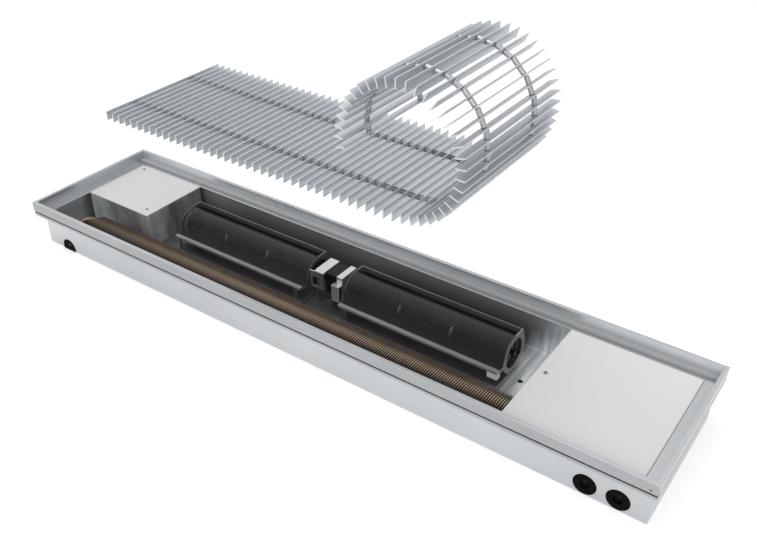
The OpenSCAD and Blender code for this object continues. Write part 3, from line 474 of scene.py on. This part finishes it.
def disc_rims(mat, light):
    """The impellers' inner discs, whose turned rims glint through the guard."""
    tree = mat.node_tree
    axes = object_axes(tree)
    mask = 0.0
    for start in FAN_X:
        for k in (1, 2):
            place = start + WHEEL_IN + k * WHEEL_L / 3
            mask = maths(tree, "MAXIMUM", maths(tree, "COMPARE", axes[X], place, DISC_RIM), mask)
    lighten(mat, maths(tree, "MULTIPLY", mask, between(tree, axes[Z], DISC_LOW, DISC_TOP)), light)


def zinc_painted_reflections(mat, depth):
    """Painted reflection: upright light and dark streaks on bare zinc sheet."""
    scale_color(mat, use(mat.node_tree, GRAIN, Stretch=REFLECTION_STREAKS, Depth=depth).outputs["Tone"])


def crest_painted_highlight(mat, light):
    """Painted highlight on the fins' folded top edges, strongest on the ridge and to the right."""
    tree = mat.node_tree
    x, y, z = object_axes(tree)
    across = maths(tree, "MULTIPLY", maths(tree, "SUBTRACT", y, FIN_Y), math.pi / FIN_W)
    curve = maths(tree, "COSINE", across)
    crest = maths(tree, "MULTIPLY_ADD", curve, FIN_CROWN, FIN_Z + FIN_SIDE)
    edge = ramp(tree, maths(tree, "SUBTRACT", crest, z), *CREST_DEPTH)
    edge = maths(tree, "MULTIPLY", edge, ramp(tree, curve, *CREST_RIDGE))
    lighten(mat, maths(tree, "MULTIPLY", edge, ramp(tree, x, *CREST_LENGTH)), light)


inner_painted_shade_and_glints(MATS["casing"], low=rgb(0.34, 0.35, 0.34), high=rgb(1.35, 1.36, 1.35), rough=0.1)
groove_painted_shade(MATS["rim"], share=0.38)
ledge_painted_shade(MATS["rim"], share=0.95)
rim_faces(MATS["rim"], outer=0.72, inner=1.5)
groove_painted_shade(MATS["end_rim"], share=0.3)
# Painted shade: a dark line where the wide cover meets the ledge, and a little darker on the
# cover's near side
tone_beyond(MATS["cover"], X, COVER_END_X, share=0.3)
tone_along(MATS["cover"], Y, INNER_Y, -INNER_Y, share=0.86)
zinc_painted_reflections(MATS["galvanised"], depth=2.2)
# Painted shade darkens the control box on its side next to the fan
tone_along(MATS["galvanised"], Y, *BOX_SHADE, share=0.62)
crest_painted_highlight(MATS["fins"], light=rgb(0.55, 0.41, 0.29))
# The fins' near slope lies in the rim's shade, and their far slope faces the light
tone_along(MATS["fins"], Y, *NEAR_SLOPE, share=0.24)
tone_along(MATS["fins"], Y, *FAR_SLOPE, share=1.6)
# The right fan's outer ring is lit from the open end of the trench
tone_beyond(MATS["fan_grey"], X, FAN_X[1] + FAN_L - RING_FACE, share=2.4)
# Painted sheen lightens the guard's wires towards their top
tone_along(MATS["guard"], Z, *GUARD_SHEEN, share=2.6)
# Painted shade darkens the lip rail where it lies behind the guard's foot
tone_beyond(MATS["lip_rail"], Y, RAIL_Y, share=0.1)
disc_rims(MATS["impeller"], light=rgb(0.5, 0.5, 0.52))
# The right impeller's end disc lies deep in the shade of its ring
tone_beyond(MATS["impeller"], X, FAN_X[1] + WHEEL_IN + WHEEL_L - END_DISC, share=0.1)
side_flange(MATS["bracket"], share=0.5)


def dress(obj, mat):
    obj.data.materials.clear()
    obj.data.materials.append(mat)


# Each node takes its slot's finish, but for those that have one of their own
slots = {s["node"]: s["material_slot"] for s in frame["record"]["subparts"]}
own = {"left_rim_rail": "end_rim", "right_rim_rail": "end_rim", "motor_coil": "coil_tape",
       "box_cover": "box_cover", "shaft_bushes": "dark_bronze", "end_spiders": "spider"}
for name, obj in NODES.items():
    dress(obj, MATS[own.get(name, slots[name])])


# Geometry node trees

def geometry_tree(name, inputs):
    """A new tree that makes a mesh in a material."""
    return new_tree(name, "GeometryNodeTree", inputs + [("Material", MATERIAL, None)],
                    [("Geometry", GEOMETRY)])


def close_tree(tree, i, o, geometry):
    real = made(tree, "GeometryNodeRealizeInstances", {0: geometry})
    dressed = made(tree, "GeometryNodeSetMaterial", {0: real, "Material": i["Material"]})
    tree.links.new(dressed, o[0])
    return tree


def vector(tree, **axes):
    """A vector from the named axes, with zero for the others."""
    return made(tree, "ShaderNodeCombineXYZ", {key.upper(): value for key, value in axes.items()})


def line(tree, start, end):
    return made(tree, "GeometryNodeCurvePrimitiveLine", {"Start": start, "End": end})


def swept(tree, path, profile):
    return made(tree, "GeometryNodeCurveToMesh", {"Curve": path, "Profile Curve": profile,
                                                  "Fill Caps": True})


def joined(tree, *parts):
    whole = node(tree, "GeometryNodeJoinGeometry")
    for part in parts:
        tree.links.new(part, whole.inputs[0])
    return whole.outputs[0]


def row(tree, count, pitch, start=(0, 0, 0)):
    """Points side by side along X."""
    return made(tree, "GeometryNodeMeshLine", {"Count": count, "Start Location": start,
                                               "Offset": vector(tree, x=pitch)})


def copies(tree, points, piece, **turned):
    return made(tree, "GeometryNodeInstanceOnPoints",
                {"Points": points, "Instance": piece, **turned})


def slat_tree():
    """A row of slats on edge: bars with rounded edges, side by side and turned step by step."""
    tree, i, o = geometry_tree("slat_row", [
        ("Count", INT, 2), ("Pitch", FLOAT, PITCH), ("Length", FLOAT, SLAT_L),
        ("Height", FLOAT, SLAT_H), ("Thickness", FLOAT, SLAT_T), ("Edge", FLOAT, 0.42),
        ("Turn", FLOAT, 0.0)])
    quad = made(tree, "GeometryNodeCurvePrimitiveQuadrilateral",
                {"Width": i["Thickness"], "Height": i["Height"]})
    radius = maths(tree, "MULTIPLY", i["Thickness"], i["Edge"])
    profile = made(tree, "GeometryNodeFilletCurve", {"Curve": quad, "Radius": radius, "Count": 3},
                   mode="POLY")
    half = maths(tree, "MULTIPLY", i["Length"], 0.5)
    bar = swept(tree, line(tree, vector(tree, y=maths(tree, "MULTIPLY", half, -1.0)),
                           vector(tree, y=half)), profile)
    index = made(tree, "GeometryNodeInputIndex")
    middle = maths(tree, "MULTIPLY", maths(tree, "SUBTRACT", i["Count"], 1.0), 0.5)
    tilt = maths(tree, "MULTIPLY", maths(tree, "SUBTRACT", middle, index), i["Turn"])
    slats = copies(tree, row(tree, i["Count"], i["Pitch"]), bar, Rotation=vector(tree, y=tilt))
    return close_tree(tree, i, o, slats)


def spacer_tree():
    """Two rows of round spacers with turned edges, threaded on their springs along X."""
    tree, i, o = geometry_tree("spacer_rows", [
        ("Count", INT, 1), ("Pitch", FLOAT, PITCH), ("Length", FLOAT, PITCH - SLAT_T),
        ("Radius", FLOAT, SPACER_R), ("Edge", FLOAT, 0.12), ("Side", FLOAT, SPRING_Y)])
    edge = maths(tree, "MULTIPLY", i["Radius"], i["Edge"])
    thin = maths(tree, "SUBTRACT", i["Radius"], edge)
    short = maths(tree, "SUBTRACT", i["Length"], maths(tree, "MULTIPLY", edge, 2.0))
    tube = joined(tree, *(made(tree, "GeometryNodeMeshCylinder",
                               {"Vertices": 20, "Radius": radius, "Depth": length})
                          for radius, length in ((i["Radius"], short), (thin, i["Length"]))))
    lying = made(tree, "GeometryNodeTransform", {"Geometry": tube, "Rotation": (0, math.pi / 2, 0)})
    half = maths(tree, "MULTIPLY", i["Length"], 0.5)
    rows = [row(tree, i["Count"], i["Pitch"],
                vector(tree, x=half, y=maths(tree, "MULTIPLY", i["Side"], side)))
            for side in (-1.0, 1.0)]
    return close_tree(tree, i, o, copies(tree, joined(tree, *rows), lying))


def fin_tree():
    """Thin fins with a crowned top and a folded edge, side by side along X."""
    tree, i, o = geometry_tree("fin_row", [
        ("Count", INT, 10), ("Pitch", FLOAT, 0.005), ("Width", FLOAT, FIN_W),
        ("Side Height", FLOAT, FIN_SIDE), ("Crown", FLOAT, FIN_CROWN), ("Fold", FLOAT, 0.0018),
        ("Thickness", FLOAT, 0.0004)])
    sheet = made(tree, "GeometryNodeMeshGrid", {"Size X": i["Width"], "Size Y": 1.0,
                                                "Vertices X": 9, "Vertices Y": 3})
    place = node(tree, "ShaderNodeSeparateXYZ", {0: made(tree, "GeometryNodeInputPosition")})
    across, up = place.outputs[X], maths(tree, "ADD", place.outputs[Y], 0.5)
    bend = maths(tree, "MULTIPLY", maths(tree, "DIVIDE", across, i["Width"]), math.pi)
    crown = maths(tree, "MULTIPLY", maths(tree, "COSINE", bend), i["Crown"])
    top = maths(tree, "ADD", i["Side Height"], crown)
    # The sheet's lower half is the fin's height, and its upper half is the fold along the top
    twice = maths(tree, "MULTIPLY", up, 2.0)
    rise = maths(tree, "MINIMUM", twice, 1.0)
    fold = maths(tree, "MAXIMUM", maths(tree, "SUBTRACT", twice, 1.0))
    spot = vector(tree, x=maths(tree, "MULTIPLY", fold, i["Fold"]), y=across,
                  z=maths(tree, "MULTIPLY", rise, top))
    shaped = made(tree, "GeometryNodeSetPosition", {0: sheet, "Position": spot})
    thick = made(tree, "GeometryNodeExtrudeMesh", {0: shaped, "Offset Scale": i["Thickness"],
                                                   "Individual": False})
    closed = joined(tree, thick, made(tree, "GeometryNodeFlipFaces", {0: shaped}))
    fin = made(tree, "GeometryNodeMergeByDistance", {0: closed, "Distance": 0.00001})
    return close_tree(tree, i, o, copies(tree, row(tree, i["Count"], i["Pitch"]), fin))


def guard_tree():
    """A wire guard: hoops that follow one bent path, and long wires across them."""
    tree, i, o = geometry_tree("wire_guard", [
        ("Length", FLOAT, FAN_L), ("Radius", FLOAT, 0.0425), ("Top Angle", FLOAT, math.radians(91)),
        ("Bend Angle", FLOAT, math.radians(150)), ("Foot", VECTOR, (-0.0545, -0.0055, 0)),
        ("Hoops", INT, 120), ("Wires", INT, 20), ("Wire", FLOAT, 0.0004)])
    sweep = maths(tree, "SUBTRACT", i["Bend Angle"], i["Top Angle"])
    arc = made(tree, "GeometryNodeCurveArc", {"Resolution": 8, "Radius": i["Radius"],
                                              "Start Angle": i["Top Angle"], "Sweep Angle": sweep})
    across, up = (maths(tree, "MULTIPLY", i["Radius"], maths(tree, operation, i["Bend Angle"]))
                  for operation in ("COSINE", "SINE"))
    path = joined(tree, line(tree, vector(tree, x=across, y=up), i["Foot"]), arc)
    upright = made(tree, "GeometryNodeTransform", {"Geometry": path,
                                                   "Rotation": (math.pi / 2, 0, math.pi / 2)})
    wire = made(tree, "GeometryNodeCurvePrimitiveCircle", {"Resolution": 4, "Radius": i["Wire"]})
    gap = maths(tree, "DIVIDE", i["Length"], maths(tree, "SUBTRACT", i["Hoops"], 1.0))
    hoops = copies(tree, row(tree, i["Hoops"], gap), swept(tree, upright, wire))
    long_wire = swept(tree, line(tree, (0, 0, 0), vector(tree, x=i["Length"])), wire)
    stops = made(tree, "GeometryNodeCurveToPoints", {"Curve": upright, "Count": i["Wires"]})
    return close_tree(tree, i, o, joined(tree, hoops, copies(tree, stops, long_wire)))


# Pieces

def in_scene(name, data):
    """A new object with this mesh, lamp or camera."""
    obj = bpy.data.objects.new(name, data)
    bpy.context.scene.collection.objects.link(obj)
    return obj


def grown(name, tree, mat, place, **values):
    """Runs a tree on an empty mesh with these inputs and keeps the result as a plain mesh."""
    seed = in_scene("seed", bpy.data.meshes.new("seed"))
    mod = seed.modifiers.new("grow", "NODES")
    mod.node_group = tree
    ids = {s.name: s.identifier for s in tree.interface.items_tree if s.in_out == "INPUT"}
    for key, value in values.items():
        mod[ids[key]] = value
    mod[ids["Material"]] = mat
    bpy.context.view_layer.update()
    depsgraph = bpy.context.evaluated_depsgraph_get()
    mesh = bpy.data.meshes.new_from_object(seed.evaluated_get(depsgraph))
    bpy.data.objects.remove(seed)
    mesh.transform(place)
    mesh.name = name
    # Some primitives bring an empty first slot, so the piece's one material is set anew
    mesh.polygons.foreach_set("material_index", [0] * len(mesh.polygons))
    obj = in_scene(name, mesh)
    dress(obj, mat)
    return obj


def merged(name, objs):
    """One plain mesh from several in the same material, in their places."""
    bm = bmesh.new()
    for o in objs:
        bm.from_mesh(o.data)
    mesh = bpy.data.meshes.new(name)
    bm.to_mesh(mesh)
    bm.free()
    mesh.materials.append(objs[0].data.materials[0])
    for o in objs:
        bpy.data.objects.remove(o)
    return in_scene(name, mesh)


def keep(obj, body, slot, *nodes):
    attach(obj, body)
    if nodes:
        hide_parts(*nodes)


def at(x, y=0, z=0):
    return Matrix.Translation((x, y, z))


# The links of the roll stand round LOOP: their slats' middles at ROLL_R, their own at LINE_R and
# their hinges at HINGE_R. A hinge is HINGE_D from its link's middle and FACE_D from the next slat's
# face, and a spacer reaches REACH past it without touching that slat when the links tilt.
ROLL_R = PITCH / (2 * math.sin(TURN / 2))
LINE_R = ROLL_R * math.cos(TURN / 2)
HINGE_R = LINE_R / math.cos(TURN)
HINGE_D = HINGE_R * math.sin(TURN)
TILT_MAX = 1.5 * TURN
FACE_D = HINGE_R * math.sin(TURN / 2) - SLAT_T / 2
REACH = (FACE_D - HINGE_GAP - SPACER_R * math.sin(TILT_MAX)) / math.cos(TILT_MAX)
LOOP = Vector((FLAT_X + (FLAT_COUNT - 0.5) * PITCH, 0, HOVER_Z + HINGE_R))
INNER_L = PITCH - SLAT_T / math.cos(TURN / 2) - 2 * SPACER_R * math.tan(TURN / 2) - PLAY
OUTER_X = PITCH / 2 + SLAT_T / 2 / math.cos(TURN / 2) + SPACER_R * math.tan(TURN / 2) + PLAY / 2

# The lifted grille's flat part
SLATS, SPACERS = slat_tree(), spacer_tree()
flat = at(FLAT_X, 0, HOVER_Z)
keep(grown("flat_slats", SLATS, MATS["slat"], flat, Count=FLAT_COUNT),
     "grille_flat", "slat", "grille_slats")
first_spacers = grown("row", SPACERS, MATS["spacer"], flat @ at(SLAT_T / 2), Count=FLAT_COUNT - 1)
last_spacers = grown("end", SPACERS, MATS["spacer"],
                     flat @ at((FLAT_COUNT - 1) * PITCH + SLAT_T / 2),
                     Count=1, Length=PITCH / 2 - SLAT_T / 2 + REACH)
keep(merged("flat_spacers", [first_spacers, last_spacers]), "grille_flat", "spacer",
     "grille_spacers")

# The links of its rolled part. The last one ends in short stubs instead of spacers.
for k in range(1, LINK_COUNT + 1):
    label = "%02d" % k
    outer_l = STUB_L if k == LINK_COUNT else HINGE_D + REACH - OUTER_X
    place = (Matrix.Translation(LOOP) @ Matrix.Rotation(-(2 * k - 1) * TURN, 4, "Y")
             @ at(0, 0, -LINE_R))
    slats = grown("roll_slats_" + label, SLATS, MATS["slat"], place @ at(-PITCH / 2), Count=2,
                  Turn=TURN)
    keep(slats, "link_" + label, "slat", "roll_" + label)
    inner = grown("inner", SPACERS, MATS["lit_loop_spacer"], place @ at(-INNER_L / 2), Count=1,
                  Length=INNER_L)
    outer = grown("outer", SPACERS, MATS["lit_loop_spacer"], place @ at(OUTER_X), Count=1,
                  Length=outer_l)
    keep(merged("roll_spacers_" + label, [inner, outer]), "link_" + label, "spacer",
         "roll_" + label)

# The heat exchanger's fins and the fans' guards
low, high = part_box("fin_pack")
fins = grown("fins", fin_tree(), MATS["fins"], at(low.x + FIN_START, (low.y + high.y) / 2, low.z),
             Count=FIN_COUNT)
keep(fins, "trench", "fins", "fin_pack")
GUARD = guard_tree()
guards = [grown("guard", GUARD, MATS["guard"], at(x, FAN_Y, FAN_Z)) for x in FAN_X]
keep(merged("wire_guards", guards), "trench", "guard", "fan_guards")


def screws(name, spots):
    """Screws with a hexagon socket in a domed head, each one closed skin from tip to socket."""
    bm = bmesh.new()
    for spot, direction, head_r, head_h, length in spots:
        turn = Vector(UP).rotation_difference(Vector(direction)).to_matrix().to_4x4()
        place = Matrix.Translation(spot) @ turn
        socket = SOCKET_SHARE * head_r
        # Radius and height of each ring, and whether it has six sides
        rings = [(SHANK_R * 0.4, -length, False), (SHANK_R, -length + SHANK_R * 0.6, False),
                 (SHANK_R, 0, False), (head_r, 0, False), (head_r, head_h * 0.45, False),
                 (head_r * 0.88, head_h * 0.85, False), (head_r * 0.68, head_h, False),
                 (socket, head_h, True), (socket, head_h * 0.3, True)]
        loops = []
        for radius, z, six_sided in rings:
            loop = []
            for j in range(SCREW_SIDES):
                a = 2 * math.pi * j / SCREW_SIDES
                r = radius
                if six_sided:
                    r = radius * math.cos(math.pi / 6) / math.cos((a % (math.pi / 3)) - math.pi / 6)
                loop.append(bm.verts.new(place @ Vector((r * math.cos(a), r * math.sin(a), z))))
            loops.append(loop)
        for a, b in zip(loops, loops[1:]):
            for j in range(SCREW_SIDES):
                after = (j + 1) % SCREW_SIDES
                bm.faces.new((a[j], a[after], b[after], b[j]))
        bm.faces.new(loops[0][::-1])
        bm.faces.new(loops[-1])
    bmesh.ops.recalc_face_normals(bm, faces=bm.faces)
    mesh = bpy.data.meshes.new(name)
    bm.to_mesh(mesh)
    bm.free()
    obj = in_scene(name, mesh)
    dress(obj, MATS["screw"])
    keep(obj, "trench", "screw", "screws")


screws("cover_head_screws", [((x, y, LEDGE_Z), UP, head_r, COVER_HEAD_H, COVER_SCREW_L)
                             for x, y, head_r in COVER_SCREWS])
screws("rim_head_screws", [((RIM_X - RIM_SCREW_IN, side * (RIM_Y - RIM_SCREW_SINK), RIM_SCREW_Z),
                            direction, RIM_HEAD_R, RIM_HEAD_H, RIM_SCREW_L)
                           for side, direction in ((-1, NEAR), (1, FAR))])


# Floor, light and camera

# Half the floor's size, its height, and half the size of its painted shadow under the casing's
# holes
FLOOR_HALF, FLOOR_Z, SHADOW_X, SHADOW_Y = 30.0, -0.0005, 0.6, 0.1
# How brightly the floor glows where it is seen, and how brightly the room lights the object
FLOOR_GLOW, ROOM_LIGHT = 0.42, 0.55
# Name, place, point aimed at, size and power of each softbox
SOFTBOXES = (("top_softbox", (-0.3, -0.2, 2.6), (0, 0, 0), (2.6, 1.6), 30),
             ("left_softbox", (-2.2, -1.6, 1.6), (0, 0, 0.1), (1.4, 1.4), 6),
             ("front_softbox", (1.4, -2.1, 1.4), (0.1, 0, 0.05), (1.4, 1.0), 16))
# The camera's place, its angles in degrees and its lens in millimetres
CAMERA_AT, AZIMUTH, ELEVATION, LENS = (0.932, -1.163, 1.121), 35.22, 34.27, 41.94


def seen(tree):
    """One for the rays that show the white surroundings: straight, and in metal or glass."""
    rays = node(tree, "ShaderNodeLightPath").outputs
    direct = maths(tree, "MAXIMUM", rays["Is Camera Ray"], rays["Is Glossy Ray"])
    return maths(tree, "MAXIMUM", direct, rays["Is Transmission Ray"])


def floor():
    s, z = FLOOR_HALF, FLOOR_Z
    mesh = bpy.data.meshes.new("studio_floor")
    mesh.from_pydata([(-s, -s, z), (s, -s, z), (s, s, z), (-s, s, z)], [], [(0, 1, 2, 3)])
    obj = in_scene("studio_floor", mesh)
    mat = new_finish("floor_white", 0.0, 0.0)
    tree = mat.node_tree
    shader = tree.nodes["Principled BSDF"]
    shader.inputs["Roughness"].default_value = 0.9
    shader.inputs["Emission Color"].default_value = grey(1)
    x, y = object_axes(tree)[:2]
    # Painted shadow: under the casing the floor is dark and does not glow, as seen through the
    # casing's holes
    under = maths(tree, "MULTIPLY", between(tree, x, -SHADOW_X, SHADOW_X),
                  between(tree, y, -SHADOW_Y, SHADOW_Y))
    tree.links.new(mixed(tree, under, grey(0.86), grey(0.05)), shader.inputs["Base Color"])
    glow = maths(tree, "MULTIPLY", seen(tree), maths(tree, "SUBTRACT", 1.0, under))
    tree.links.new(maths(tree, "MULTIPLY", glow, FLOOR_GLOW), shader.inputs["Emission Strength"])
    dress(obj, mat)


def aim(obj, place, direction):
    obj.location = place
    obj.rotation_mode = "QUATERNION"
    obj.rotation_quaternion = direction.to_track_quat("-Z", "Y")


def light():
    world = bpy.data.worlds.new("studio")
    bpy.context.scene.world = world
    world.use_nodes = True
    back = world.node_tree.nodes["Background"]
    back.inputs["Color"].default_value = grey(1)
    level = ramp(world.node_tree, seen(world.node_tree), 0.0, 1.0, ROOM_LIGHT, 1.0)
    world.node_tree.links.new(level, back.inputs["Strength"])
    for name, place, target, size, power in SOFTBOXES:
        lamp = bpy.data.lights.new(name, "AREA")
        lamp.shape, lamp.size, lamp.size_y, lamp.energy = "RECTANGLE", size[0], size[1], power
        aim(in_scene(name, lamp), place, Vector(target) - Vector(place))


def camera():
    data = bpy.data.cameras.new("camera")
    data.sensor_width, data.lens = 36.0, LENS
    data.clip_start, data.clip_end = 0.02, 100.0
    obj = in_scene("camera", data)
    az, el = math.radians(AZIMUTH), math.radians(ELEVATION)
    back = Vector((math.sin(az) * math.cos(el), -math.cos(az) * math.cos(el), math.sin(el)))
    aim(obj, CAMERA_AT, -back)
    bpy.context.scene.camera = obj


floor()
light()
camera()
bpy.context.scene.view_settings.view_transform = "Standard"
